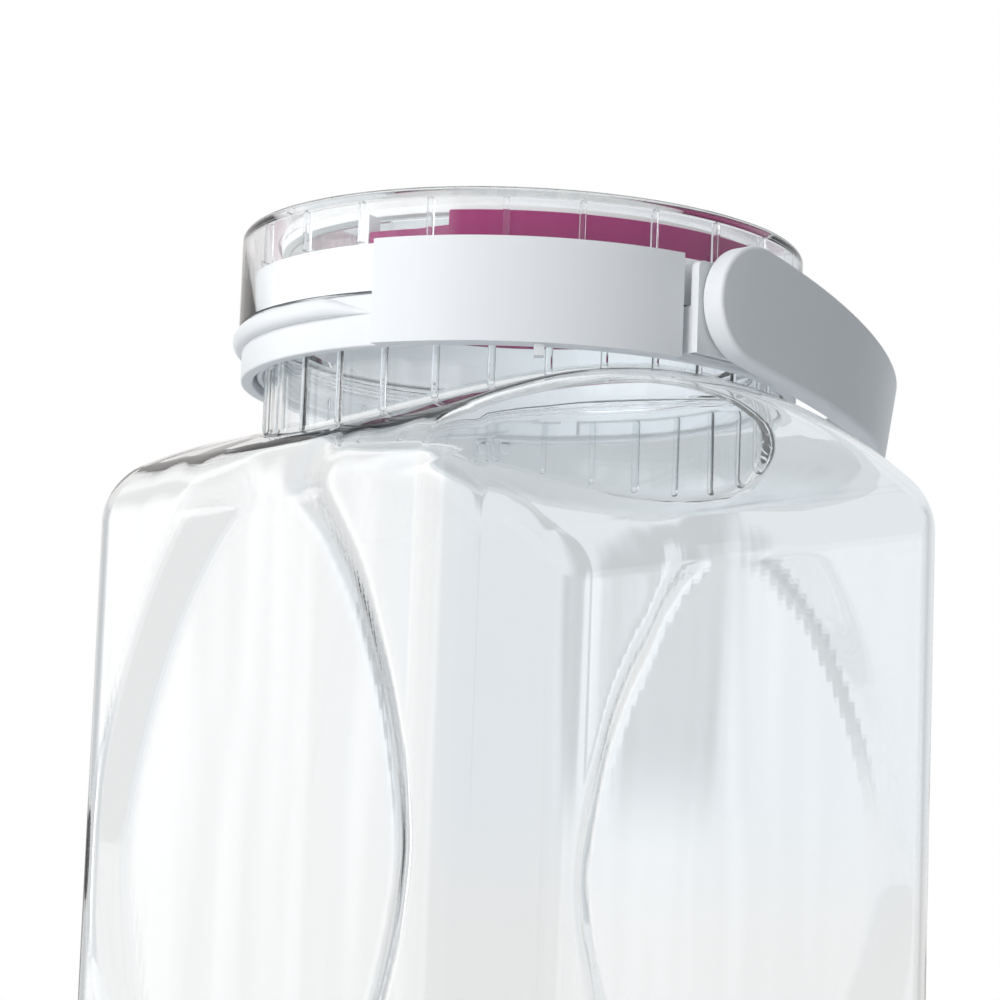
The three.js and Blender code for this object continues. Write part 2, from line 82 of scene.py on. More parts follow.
# Studio. A pale floor that fades to the white of the backdrop, a large soft lamp on the left
# and a weak one on the right. To gloss and clear plastic the world is a pale room with a window
# on the left, pale and grey boards and a darker gap behind, which draw the edges of the walls.
def new_material(name):
    material = bpy.data.materials.new(name)
    material.use_nodes = True
    material.node_tree.nodes.clear()
    return material, material.node_tree


def node(tree, kind, **settings):
    """A new node. Settings with a plain name are its properties, those with in_ its inputs."""
    made = tree.nodes.new(kind)
    for key, value in settings.items():
        if key.startswith("in_"):
            place = key[3:]
            socket = made.inputs[int(place)] if place.isdigit() else made.inputs[place.replace("_", " ")]
            if isinstance(value, bpy.types.NodeSocket):
                tree.links.new(value, socket)
            else:
                socket.default_value = value
        else:
            setattr(made, key, value)
    return made


lamp_aim = Vector((0, 0, 0.2))


def lamp(name, angle, distance, height, width, power, tint=(1, 1, 1)):
    """A square soft lamp, aimed at the shoulder and seen neither in gloss nor through plastic."""
    data = bpy.data.lights.new(name, "AREA")
    data.shape = "RECTANGLE"
    data.size = width
    data.size_y = width
    data.energy = power
    data.color = tint
    made = bpy.data.objects.new(name, data)
    turn = math.radians(angle)
    place = Vector((distance * math.sin(turn), -distance * math.cos(turn), height))
    aim = lamp_aim - place
    made.matrix_world = Matrix.Translation(place) @ aim.to_track_quat("-Z", "Y").to_matrix().to_4x4()
    made.visible_glossy = False
    made.visible_transmission = False
    scene.collection.objects.link(made)
    return made


lamp("key_lamp", angle=-82, distance=1.35, height=0.85, width=0.9, power=15.2)
lamp("cool_lamp", angle=105, distance=1.6, height=0.6, width=0.8, power=2.2, tint=(0.86, 0.95, 1.0))


def smooth(tree, value, start, end, low=0.0, high=1.0):
    """Goes smoothly from low to high as the value goes from start to end."""
    made = node(tree, "ShaderNodeMapRange", interpolation_type="SMOOTHSTEP", in_Value=value)
    for name, number in (("From Min", start), ("From Max", end), ("To Min", low), ("To Max", high)):
        made.inputs[name].default_value = number
    return made.outputs["Result"]


def sum_of(tree, operation, first, second=0.0):
    return node(tree, "ShaderNodeMath", operation=operation, in_0=first, in_1=second).outputs[0]


def blend_of(tree, share, first, second):
    return node(tree, "ShaderNodeMix", in_0=share, in_2=first, in_3=second).outputs[0]


room_level = 0.86
zenith_level = 0.92
room_heights = (0.2, 0.9)
room_streaks = (0.35, 0.65, 0.93, 1.07)
panel_level = 0.87
panel_span = (0.2, 1.1)
panel_top = (0.2, 0.3)
grey_panel_drop = 0.25
grey_panel_span = (0.665, 0.725)
grey_panel_foot = (0.03, 0.07)
pale_panel_lift = 0.2
pale_panel_span = (0.40, 0.63)
pale_panel_foot = (0.15, 0.18)
gap_level = 0.62
gap_span = (-0.42, 0.36)
gap_top = (0.14, 0.18)
window_level = 1.19
window_span = (-2.05, -0.36)
window_foot = (-0.25, -0.1)
window_sill = (-0.02, 0.08)
sill_level = 0.85
window_streaks = (0.36, 0.62, 0.72, 1.1)
window_top = (0.35, 0.7)
dark_side = (0.64, -0.77, 0)
dark_side_level = 0.62
dark_side_top = (0.25, 0.4)
front_side = (0.3, -0.95, 0)
room_tint = (0.94, 0.962, 0.987, 1)
low_tint = (0.985, 0.965, 0.955, 1)
blue_foot = (0.0, 0.06)
blue_headings = (0.58, 0.64)
ambient_level = 0.33
ambient_front_level = 0.10
ambient_inside_level = 0.68
inside_tint = (1.0, 1.01, 0.97, 1)
ambient_tint = (0.90, 1.0, 1.09, 1)

world = bpy.data.worlds.new("studio")
world.use_nodes = True
scene.world = world
sky = world.node_tree
sky.nodes.clear()
ray = node(sky, "ShaderNodeLightPath").outputs
direction = node(sky, "ShaderNodeTexCoord").outputs["Generated"]
axes = node(sky, "ShaderNodeSeparateXYZ", in_0=direction).outputs
heading = sum_of(sky, "ARCTAN2", axes["X"], axes["Y"])


def sector(span, soft):
    """One between two headings in radians, and nothing outside them."""
    rising = smooth(sky, heading, span[0], span[0] + soft)
    return sum_of(sky, "MULTIPLY", rising, smooth(sky, heading, span[1] - soft, span[1], 1, 0))


def rising_at(heights, low=0.0, high=1.0):
    """Goes from low to high between two heights, given as the upward share of a direction."""
    return smooth(sky, axes["Z"], heights[0], heights[1], low, high)


def product(*values):
    result = values[0]
    for value in values[1:]:
        result = sum_of(sky, "MULTIPLY", result, value)
    return result


uneven = node(sky, "ShaderNodeTexNoise", noise_dimensions="1D", in_W=heading, in_Scale=7.0, in_Detail=2.0)
streaks = uneven.outputs["Fac"]
room = product(rising_at(room_heights, room_level, zenith_level), smooth(sky, streaks, *room_streaks))
grey_panel = product(sector(grey_panel_span, 0.02), rising_at(grey_panel_foot, 0, -grey_panel_drop))
pale_panel = product(sector(pale_panel_span, 0.03), rising_at(pale_panel_foot, 0, pale_panel_lift))
panels = sum_of(sky, "ADD", sum_of(sky, "ADD", grey_panel, pale_panel), panel_level)
room = blend_of(sky, product(sector(panel_span, 0.2), rising_at(panel_top, 1, 0)), room, panels)
gap = product(sector(gap_span, 0.14), rising_at(gap_top, 1, 0))
room = blend_of(sky, gap, room, gap_level)
window = product(
    rising_at(window_foot), rising_at(window_top, 1, 0), sector(window_span, 0.14),
    smooth(sky, streaks, *window_streaks), rising_at(window_sill, sill_level, 1),
)
to_dark_side = node(sky, "ShaderNodeVectorMath", operation="DOT_PRODUCT", in_0=direction, in_1=dark_side)
darkened = product(smooth(sky, to_dark_side.outputs["Value"], 0.1, 0.85), rising_at(dark_side_top, 1, 0))
room = blend_of(sky, darkened, room, dark_side_level)
in_clear = sum_of(sky, "ADD", room, product(window, window_level))
to_front = node(sky, "ShaderNodeVectorMath", operation="DOT_PRODUCT", in_0=direction, in_1=front_side)
ambient = smooth(sky, to_front.outputs["Value"], 0.0, 0.9, ambient_level, ambient_front_level)
behind_clear = sum_of(sky, "GREATER_THAN", ray["Transmission Depth"], 0.5)
ambient = blend_of(sky, behind_clear, ambient, ambient_inside_level)

after_diffuse = sum_of(sky, "GREATER_THAN", ray["Diffuse Depth"], 0.5)
level_of_light = blend_of(sky, after_diffuse, in_clear, ambient)
strength = blend_of(sky, ray["Is Camera Ray"], level_of_light, 1.0)


def tint_between(share, first, second):
    made = node(sky, "ShaderNodeMix", data_type="RGBA", in_0=share)
    for place, colour in ((6, first), (7, second)):
        if isinstance(colour, bpy.types.NodeSocket):
            sky.links.new(colour, made.inputs[place])
        else:
            made.inputs[place].default_value = colour
    return made.outputs[2]


blue_share = product(rising_at(blue_foot), smooth(sky, heading, *blue_headings))
blue_share = sum_of(sky, "MAXIMUM", blue_share, gap)
tint_of_light = tint_between(blue_share, low_tint, room_tint)
tint_of_ambient = tint_between(behind_clear, ambient_tint, inside_tint)
tint_of_light = tint_between(after_diffuse, tint_of_light, tint_of_ambient)
white_share = sum_of(sky, "MAXIMUM", ray["Is Camera Ray"], window)
tint_of_light = tint_between(white_share, tint_of_light, (1, 1, 1, 1))
backdrop = node(sky, "ShaderNodeBackground", in_Color=tint_of_light, in_Strength=strength)
node(sky, "ShaderNodeOutputWorld", in_Surface=backdrop.outputs[0])

floor_radius = 4.0
shadow_reach = (0.1, 0.75)
floor_colour = (0.93, 0.93, 0.93, 1)
floor_mesh = bpy.data.meshes.new("floor")
floor_shape = bmesh.new()
bmesh.ops.create_circle(floor_shape, cap_ends=True, radius=floor_radius, segments=96)
floor_shape.to_mesh(floor_mesh)
floor_shape.free()
floor = bpy.data.objects.new("floor", floor_mesh)
scene.collection.objects.link(floor)
floor_material, paint = new_material("pale_floor")
floor_ray = node(paint, "ShaderNodeLightPath").outputs
floor_place = node(paint, "ShaderNodeTexCoord").outputs["Object"]
from_canister = node(paint, "ShaderNodeVectorMath", operation="LENGTH", in_0=floor_place).outputs["Value"]
floor_grey = node(paint, "ShaderNodeBsdfDiffuse", in_Color=floor_colour)
floor_level = blend_of(paint, floor_ray["Is Camera Ray"], room_level, 1.0)
floor_glow = node(paint, "ShaderNodeEmission", in_Color=(1, 1, 1, 1), in_Strength=floor_level)
seen = sum_of(paint, "LESS_THAN", floor_ray["Diffuse Depth"], 0.5)
fade = sum_of(paint, "MULTIPLY", seen, smooth(paint, from_canister, *shadow_reach, 0.5, 1.0))
floor_mix = node(paint, "ShaderNodeMixShader", in_0=fade,
                 in_1=floor_grey.outputs[0], in_2=floor_glow.outputs[0])
node(paint, "ShaderNodeOutputMaterial", in_Surface=floor_mix.outputs[0])
floor.data.materials.append(floor_material)


# Bottle. One stretch-blown moulding of clear PET with a wall of 1.5 mm: square body with
# rounded corners, a shoulder vaulted from side to side, a hand grip pressed into each side
# face, and a round neck with a snap bead for the collar and a finish for the lid.
body_half = 64 * MM
crest = 231 * MM
corner_radius = 9 * MM
body_wall = 1.5 * MM
vault_radius = 122 * MM
edge_radius = 8 * MM
base_radius = 8 * MM
panel_rise = 1.2 * MM
panel_radius = 43 * MM
panel_rings = (15 * MM, 30 * MM, panel_radius)
foot_radius = 46 * MM
grip_half_width = 57.5 * MM
grip_half_height = 85 * MM
grip_below_crest = 95 * MM
grip_squareness = 1.6
grip_depth = 4 * MM
grip_edge_share = 0.18
neck_radius = 52 * MM
neck_wall = 1.8 * MM
neck_fillet = 2 * MM
bead_proud = 0.8 * MM
bead_bottom = 239.3 * MM
bead_top = 240.7 * MM
neck_top = 241.6 * MM
finish_bottom = 243.4 * MM
finish_radius = 49.6 * MM
finish_wall = 2 * MM
rim_top = 259.8 * MM
rim_round = 0.9 * MM
flat_steps = 26
corner_steps = 12
quarter = 2 * flat_steps + corner_steps
around = 4 * quarter


def square_outline(inset):
    """The body's outline with rounded corners, set in from its wall, as points in the plane."""
    half = body_half - inset
    radius = max(corner_radius - inset, 1 * MM)
    straight = half - radius
    shares = np.linspace(0, 1, flat_steps + 1)
    places = straight * shares * (1.6 - 0.6 * shares)
    rising = [(half, place) for place in places]
    turns = [math.pi / 2 * k / corner_steps for k in range(1, corner_steps)]
    bend = [(straight + radius * math.cos(t), straight + radius * math.sin(t)) for t in turns]
    returning = [(place, half) for place in places[:0:-1]]
    one = np.array(rising + bend + returning)
    turned = [one @ np.array(((c, s), (-s, c))) for c, s in ((1, 0), (0, 1), (-1, 0), (0, -1))]
    return np.vstack(turned)


def round_outline(radius, count=around):
    turn = np.arange(count) / count * 2 * math.pi
    return np.column_stack((radius * np.cos(turn), radius * np.sin(turn)))


def at_height(outline, height):
    return np.column_stack((outline, np.broadcast_to(height, len(outline))))


def vault(x):
    """Height of the shoulder, whose ridge runs from front to back."""
    return crest - vault_radius + np.sqrt(vault_radius**2 - x**2)


wall_top = float(vault(body_half)) - edge_radius


def gripped(plan, height, share=1.0):
    """The outline drawn in where it crosses a hand grip, which is pointed at top and bottom."""
    x, y = plan.T
    across = np.abs(y) / grip_half_width
    along = np.abs(height - crest + grip_below_crest) / grip_half_height
    reach = (across**grip_squareness + along**grip_squareness) ** (1 / grip_squareness)
    depth = np.clip((1 - reach) / grip_edge_share, 0, 1)
    drawn_in = share * grip_depth * depth * depth * (3 - 2 * depth) * (np.abs(x) > np.abs(y))
    return np.column_stack((x - np.sign(x) * drawn_in, y))


def wall_row(inset, height):
    return at_height(gripped(square_outline(inset), height), height)


def shoulder_row(wall, turn):
    """A row on the rounded edge of the shoulder, where the grips run out."""
    plan = square_outline(wall + (edge_radius - wall) * (1 - math.cos(turn)))
    height = vault(plan[:, 0]) - wall - (edge_radius - wall) * (1 - math.sin(turn))
    return at_height(gripped(plan, np.minimum(height, wall_top), math.cos(turn)), height)


def base_row(wall, turn):
    radius = base_radius - wall
    plan = square_outline(wall + radius * (1 - math.cos(turn)))
    return at_height(plan, wall + radius * (1 - math.sin(turn)))


def vault_row(wall, neck, share):
    plan = square_outline(edge_radius) * (1 - share) + round_outline(neck) * share
    return at_height(plan, vault(plan[:, 0]) - wall)


def fillet_row(radius, fillet, drop, turn):
    foot = round_outline(radius + fillet)
    plan = round_outline(radius + fillet * (1 - math.sin(turn)))
    return at_height(plan, vault(foot[:, 0]) - drop + fillet * (1 - math.cos(turn)))


def quarter_turns(steps, reverse=False):
    turns = [math.pi / 2 * k / steps for k in range(steps + 1)]
    return turns[::-1] if reverse else turns


def skin(name, rows, poles=None, pinched=False):
    """A mesh over rows of points that run counter-clockwise seen from the last row's side. With
    poles it closes at a point at each end, and pinched, where each end row is folded flat.
    Otherwise the last row meets the first."""
    count = len(rows[0])
    points = [tuple(p) for row in rows for p in row]
    faces = []
    joints = len(rows) - 1 if poles or pinched else len(rows)
    for r in range(joints):
        a, b = r * count, (r + 1) % len(rows) * count
        for i in range(count):
            j = (i + 1) % count
            faces.append((a + i, a + j, b + j, b + i))
    if poles:
        points += [tuple(p) for p in poles]
        first, last, top = len(points) - 2, len(points) - 1, (len(rows) - 1) * count
        for i in range(count):
            j = (i + 1) % count
            faces.append((first, j, i))
            faces.append((last, top + i, top + j))
    mesh = bpy.data.meshes.new(name)
    mesh.from_pydata(points, [], faces)
    if pinched:
        shape = bmesh.new()
        shape.from_mesh(mesh)
        bmesh.ops.remove_doubles(shape, verts=shape.verts, dist=0.001 * MM)
        shape.to_mesh(mesh)
        shape.free()
    mesh.update()
    return mesh


def finished(name, meshes, material, body, nodes, sharp=40, bevel=None):
    """One piece from its meshes: shaded smooth up to the sharp angle, riding on its body."""
    shape = bmesh.new()
    for part in meshes:
        shape.from_mesh(part)
    mesh = bpy.data.meshes.new(name)
    shape.to_mesh(mesh)
    shape.free()
    mesh.shade_smooth()
    mesh.set_sharp_from_angle(angle=math.radians(sharp))
    mesh.materials.append(material)
    made = bpy.data.objects.new(name, mesh)
    scene.collection.objects.link(made)
    if bevel:
        rounding = made.modifiers.new("rounded_edges", "BEVEL")
        rounding.width = bevel
        rounding.segments = 3
        rounding.limit_method = "ANGLE"
        rounding.angle_limit = math.radians(sharp)
    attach(made, body)
    if nodes:
        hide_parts(*nodes)
    return made


def clear_plastic(name, tint, roughness, ior, streaks):
    """Clear plastic with the faint upright streaks of moulding. It lets the light of lamps, and
    light on its way to a matt piece, straight through."""
    material, tree = new_material(name)
    place = node(tree, "ShaderNodeTexCoord")
    drawn = node(tree, "ShaderNodeMapping", in_Vector=place.outputs["Object"], in_Scale=(26, 26, 4))
    waves = node(tree, "ShaderNodeTexNoise", in_Vector=drawn.outputs[0], in_Scale=1.0, in_Detail=2.0)
    ripple = node(tree, "ShaderNodeBump", in_Strength=streaks, in_Distance=3 * MM,
                  in_Height=waves.outputs["Fac"])
    clear = node(tree, "ShaderNodeBsdfPrincipled", in_Base_Color=(*tint, 1), in_Roughness=roughness,
                 in_IOR=ior, in_Transmission_Weight=1.0, in_Normal=ripple.outputs[0])
    passing = node(tree, "ShaderNodeBsdfTransparent", in_Color=(0.94, 0.95, 0.96, 1))
    ray = node(tree, "ShaderNodeLightPath")
    to_matt = node(tree, "ShaderNodeMixShader", in_0=ray.outputs["Is Diffuse Ray"],
                   in_1=clear.outputs[0], in_2=passing.outputs[0])
    mixed = node(tree, "ShaderNodeMixShader", in_0=ray.outputs["Is Shadow Ray"],
                 in_1=to_matt.outputs[0], in_2=passing.outputs[0])
    node(tree, "ShaderNodeOutputMaterial", in_Surface=mixed.outputs[0])
    return material


clear_pet = clear_plastic(
    "clear_pet", tint=(0.972, 0.988, 0.995), roughness=0.012, ior=1.46, streaks=0.3
)

wall_bottom = base_radius
grip_foot = crest - grip_below_crest - grip_half_height
plain_steps = 6
grip_steps = 136
wall_levels = np.concatenate((
    np.linspace(wall_bottom, grip_foot, plain_steps)[1:-1],
    np.linspace(grip_foot, wall_top, grip_steps)[:-1],
))
finish_inner = finish_radius - finish_wall
neck_inner = neck_radius - neck_wall
bead_slope = (bead_top - bead_bottom) / 3

bottle_outside = [
    *(at_height(round_outline(radius), panel_rise) for radius in panel_rings),
    at_height(round_outline(foot_radius), 0),
    *(base_row(0, turn) for turn in quarter_turns(9, reverse=True)),
    *(wall_row(0, level_z) for level_z in wall_levels),
    *(shoulder_row(0, turn) for turn in quarter_turns(12)),
    *(vault_row(0, neck_radius + neck_fillet, k / 10) for k in range(1, 10)),
    *(fillet_row(neck_radius, neck_fillet, 0, turn) for turn in quarter_turns(6)),
    *(at_height(round_outline(neck_radius + proud), height) for proud, height in (
        (0, bead_bottom), (bead_proud * 0.8, bead_bottom + bead_slope * 0.6),
        (bead_proud, bead_bottom + bead_slope), (bead_proud, bead_top - bead_slope),
        (bead_proud * 0.8, bead_top - bead_slope * 0.6), (0, bead_top), (0, neck_top))),
    at_height(round_outline(finish_radius), finish_bottom),
    *(at_height(round_outline(finish_radius - rim_round * (1 - math.cos(turn))),
                rim_top - rim_round * (1 - math.sin(turn))) for turn in quarter_turns(4)),
]
bottle_inside = [
    *(at_height(round_outline(finish_inner + rim_round / 2 * (1 - math.cos(turn))),
                rim_top - rim_round / 2 * (1 - math.sin(turn)))
      for turn in quarter_turns(3, reverse=True)),
    at_height(round_outline(finish_inner), finish_bottom),
    at_height(round_outline(neck_inner), neck_top),
    *(fillet_row(neck_inner, neck_fillet, body_wall, turn) for turn in quarter_turns(5, reverse=True)),
    *(vault_row(body_wall, neck_inner + neck_fillet, k / 10) for k in range(9, 0, -1)),
    *(shoulder_row(body_wall, turn) for turn in quarter_turns(10, reverse=True)),
    *(wall_row(body_wall, level_z) for level_z in wall_levels[::-1]),
    *(base_row(body_wall, turn) for turn in quarter_turns(8)),
    at_height(round_outline(foot_radius), body_wall),
    *(at_height(round_outline(radius), panel_rise + body_wall) for radius in panel_rings[::-1]),
]
bottle_mesh = skin(
    "bottle", bottle_outside + bottle_inside, poles=((0, 0, panel_rise), (0, 0, panel_rise + body_wall))
)

# Cam lugs. Two blocks moulded on the finish, in front of the tall part of each cam rail.
both_sides = (0, 180)
rail_from = -69.8
rail_strip_angle = 11
rail_notch_angle = 17.5
rail_angle = 115
band_top = 253.4 * MM
ring_inner = 51.3 * MM
rail_outer = 54.9 * MM
lug_angle = 15
lug_radius = 51 * MM
lug_bottom = 256.9 * MM
lug_top = 258.9 * MM
lug_clearance = 0.35
sunk = 0.1 * MM


def arc_block(name, start, end, section, step=1.0):
    """A block swept round the neck. The section gives [radius, height] pairs, counter-clockwise
    with the radius to the right, at a share of the way."""
    steps = max(2, math.ceil((end - start) / step))
    rows = []
    for k in range(steps + 1):
        turn = math.radians(start + (end - start) * k / steps)
        ring = [(r * math.sin(turn), -r * math.cos(turn), z) for r, z in section(k / steps)]
        rows.append(ring[::-1])
    return skin(name, rows, poles=(np.mean(rows[0], axis=0), np.mean(rows[-1], axis=0)))


def block_section(inner, outer, bottom, top):
    return lambda share: [(inner, bottom), (outer, bottom), (outer, top), (inner, top)]


lug_end = rail_from + rail_notch_angle - lug_clearance
lug_meshes = [
    arc_block("lug", lug_end - lug_angle + side, lug_end + side,
              block_section(finish_radius - sunk, lug_radius, lug_bottom, lug_top))
    for side in both_sides
]
bottle = finished("bottle", [bottle_mesh, *lug_meshes], clear_pet, "canister", ["bottle"],
                  sharp=50)


# Neck ribs. Thirty upright ribs moulded round the foot of the neck, which the collar sits on
# and is keyed between. They start on the vaulted shoulder, so each has its own length.
rib_count = 30
rib_first = 5.0
rib_width = 1.5 * MM
rib_proud = 0.8 * MM
rib_top = 237 * MM
rib_rounding = 0.4 * MM


def ribs_tree():
    """Upright ribs in a circle, standing on a level or on the vaulted shoulder."""
    tree = bpy.data.node_groups.new("ribs_in_a_circle", "GeometryNodeTree")
    tree.interface.new_socket("Geometry", in_out="OUTPUT", socket_type="NodeSocketGeometry")
    sizes = ("Count", "First Angle", "Radius", "Width", "Depth", "Bottom", "Top", "Vault Radius")
    for size in sizes:
        kind = "NodeSocketInt" if size == "Count" else "NodeSocketFloat"
        tree.interface.new_socket(size, in_out="INPUT", socket_type=kind)
    tree.interface.new_socket("Material", in_out="INPUT", socket_type="NodeSocketMaterial")
    given = node(tree, "NodeGroupInput").outputs

    points = node(tree, "GeometryNodeMeshCircle", fill_type="NONE",
                  in_Vertices=given["Count"], in_Radius=given["Radius"])
    first_turn = node(tree, "ShaderNodeCombineXYZ", in_Z=given["First Angle"])
    turned = node(tree, "GeometryNodeTransform", in_Geometry=points.outputs["Mesh"],
                  in_Rotation=first_turn.outputs[0])
    place = node(tree, "GeometryNodeInputPosition")
    parts = node(tree, "ShaderNodeSeparateXYZ", in_0=place.outputs[0])
    vault_squared = sum_of(tree, "MULTIPLY", given["Vault Radius"], given["Vault Radius"])
    sideways_squared = sum_of(tree, "MULTIPLY", parts.outputs["X"], parts.outputs["X"])
    left_over = sum_of(tree, "SUBTRACT", vault_squared, sideways_squared)
    left_over = sum_of(tree, "SQRT", sum_of(tree, "MAXIMUM", left_over, 0.0))
    fallen = sum_of(tree, "SUBTRACT", given["Vault Radius"], left_over)
    fallen = sum_of(tree, "MAXIMUM", fallen, 0.0)
    foot = sum_of(tree, "SUBTRACT", given["Bottom"], fallen)
    length = sum_of(tree, "SUBTRACT", given["Top"], foot)
    middle = sum_of(tree, "MULTIPLY", sum_of(tree, "ADD", given["Top"], foot), 0.5)
    raised = node(tree, "ShaderNodeCombineXYZ", in_Z=middle)
    lifted = node(tree, "GeometryNodeSetPosition", in_Geometry=turned.outputs[0],
                  in_Offset=raised.outputs[0])
    facing = node(tree, "ShaderNodeMath", operation="ARCTAN2",
                  in_0=parts.outputs["Y"], in_1=parts.outputs["X"])
    facing_turn = node(tree, "ShaderNodeCombineXYZ", in_Z=facing.outputs[0])
    size = node(tree, "ShaderNodeCombineXYZ", in_X=given["Depth"], in_Y=given["Width"], in_Z=1.0)
    block = node(tree, "GeometryNodeMeshCube", in_Size=size.outputs[0])
    tall = node(tree, "ShaderNodeCombineXYZ", in_X=1.0, in_Y=1.0, in_Z=length)
    placed = node(tree, "GeometryNodeInstanceOnPoints", in_Points=lifted.outputs[0],
                  in_Instance=block.outputs["Mesh"], in_Rotation=facing_turn.outputs[0],
                  in_Scale=tall.outputs[0])
    real = node(tree, "GeometryNodeRealizeInstances", in_Geometry=placed.outputs[0])
    painted = node(tree, "GeometryNodeSetMaterial", in_Geometry=real.outputs[0],
                   in_Material=given["Material"])
    node(tree, "NodeGroupOutput", in_Geometry=painted.outputs[0])
    return tree


rib_tree = ribs_tree()


def ribs_mesh(name, material, **sizes):
    """The tree's ribs as a plain mesh. Radius is that of the middle of a rib's depth."""
    holder = bpy.data.objects.new(name + "_holder", bpy.data.meshes.new(name + "_holder"))
    scene.collection.objects.link(holder)
    modifier = holder.modifiers.new("ribs", "NODES")
    modifier.node_group = rib_tree
    sizes["Material"] = material
    for item in rib_tree.interface.items_tree:
        if item.in_out == "INPUT" and item.name.replace(" ", "_") in sizes:
            modifier[item.identifier] = sizes[item.name.replace(" ", "_")]
    evaluated = holder.evaluated_get(bpy.context.evaluated_depsgraph_get())
    mesh = bpy.data.meshes.new_from_object(evaluated)
    holder.modifiers.remove(modifier)
    bpy.data.objects.remove(holder)
    mesh.name = name
    mesh.materials.clear()
    return mesh


neck_rib_mesh = ribs_mesh(
    "neck_ribs", clear_pet, Count=rib_count, First_Angle=math.radians(rib_first - 90),
    Radius=neck_radius + rib_proud / 2 - sunk / 2, Width=rib_width, Depth=rib_proud + sunk,
    Bottom=crest, Top=rib_top, Vault_Radius=vault_radius,
)
neck_ribs = finished("neck_ribs", [neck_rib_mesh], clear_pet, "canister", [],
                     bevel=rib_rounding)


# Collar. Injection-moulded white polypropylene that snaps over the neck's bead: a hub on the
# neck, a web, a skirt with a grip bead on each side, and two ears with the handle's pivots.
collar_bottom = 233 * MM
collar_top = 243.3 * MM
hub_bottom = 234.2 * MM
hub_inner = 52.3 * MM
hub_relief = 53.1 * MM
hub_outer = 54.3 * MM
lip_bottom = 237.3 * MM
lip_top = 239 * MM
web_bottom = 241.3 * MM
skirt_inner = 55 * MM
skirt_outer = 57.5 * MM
grip_bead_bottom = 239.3 * MM
grip_bead_height = 4 * MM
grip_bead_proud = 1.9 * MM
grip_bead_taper = 14
grip_bead_root = 0.3 * MM
grip_bead_fullness = 0.7
grip_bead_gap = 0.3
pivot_angle = 7.7
pivot_height = 244.6 * MM
ear_half = 12.3 * MM
ear_bottom = 234 * MM
ear_top = 252.2 * MM
ear_round = 1.5 * MM
ear_inner = 58.6 * MM
ear_face = 60.5 * MM
ear_root_inner = skirt_inner + 0.3 * MM
ear_root_outer = ear_inner + 0.5 * MM
band_from = -65.6
band_to = -5.9
lathe_steps = 240
collar_rounding = 0.5 * MM
hub_relief_top = 241 * MM
tooth_count = 6
tooth_width = 3.6 * MM
tooth_first = rib_first + 6


def rounded(profile, radius, steps=4):
    """The closed outline with its corners rounded, none by more than its shorter side allows."""
    points = [Vector(p) for p in profile]
    result = []
    for i, corner in enumerate(points):
        back, ahead = points[i - 1] - corner, points[(i + 1) % len(points)] - corner
        angle = back.angle(ahead)
        reach = min(radius / math.tan(angle / 2), 0.45 * back.length, 0.45 * ahead.length)
        if angle > math.radians(170):
            result.append(tuple(corner))
            continue
        start, end = corner + back.normalized() * reach, corner + ahead.normalized() * reach
        for k in range(steps + 1):
            t = k / steps
            bent = start * (1 - t) ** 2 + corner * 2 * t * (1 - t) + end * t**2
            result.append(tuple(bent))
    return result


def turned(name, profile):
    """A ring turned about the bottle's axis from a closed counter-clockwise outline."""
    return skin(name, [at_height(round_outline(r, lathe_steps), z) for r, z in profile])


def moulded_plastic(name, tint, roughness, grain, specular=0.5):
    """Moulded plastic with a fine grain and a slightly uneven gloss."""
    material, tree = new_material(name)
    place = node(tree, "ShaderNodeTexCoord")
    fine = node(tree, "ShaderNodeTexNoise", in_Vector=place.outputs["Object"],
                in_Scale=2600.0, in_Detail=2.0)
    broad = node(tree, "ShaderNodeTexNoise", in_Vector=place.outputs["Object"],
                 in_Scale=45.0, in_Detail=3.0)
    gloss = node(tree, "ShaderNodeMapRange", in_Value=broad.outputs["Fac"])
    gloss.inputs["To Min"].default_value = roughness - 0.05
    gloss.inputs["To Max"].default_value = roughness + 0.06
    shade = node(tree, "ShaderNodeMix", data_type="RGBA", in_0=broad.outputs["Fac"])
    shade.inputs[6].default_value = (*(c * 0.975 for c in tint), 1)
    shade.inputs[7].default_value = (*tint, 1)
    skin_bump = node(tree, "ShaderNodeBump", in_Strength=grain, in_Distance=0.05 * MM,
                     in_Height=fine.outputs["Fac"])
    surface = node(tree, "ShaderNodeBsdfPrincipled", in_Base_Color=shade.outputs[2],
                   in_Roughness=gloss.outputs["Result"], in_Specular_IOR_Level=specular,
                   in_Normal=skin_bump.outputs[0])
    node(tree, "ShaderNodeOutputMaterial", in_Surface=surface.outputs[0])
    return material


white_pp = moulded_plastic("white_polypropylene", tint=(0.86, 0.873, 0.887), roughness=0.34, grain=0.15)

collar_ring = turned("collar_ring", rounded([
    (hub_relief, hub_bottom), (hub_outer, hub_bottom), (hub_outer, web_bottom),
    (skirt_inner, web_bottom), (skirt_inner, collar_bottom), (skirt_outer, collar_bottom),
    (skirt_outer, collar_top), (hub_inner, collar_top), (hub_inner, hub_relief_top),
    (hub_relief, hub_relief_top), (hub_relief, lip_top), (hub_inner, lip_top),
    (hub_inner, lip_bottom), (hub_relief, lip_bottom),
], collar_rounding))


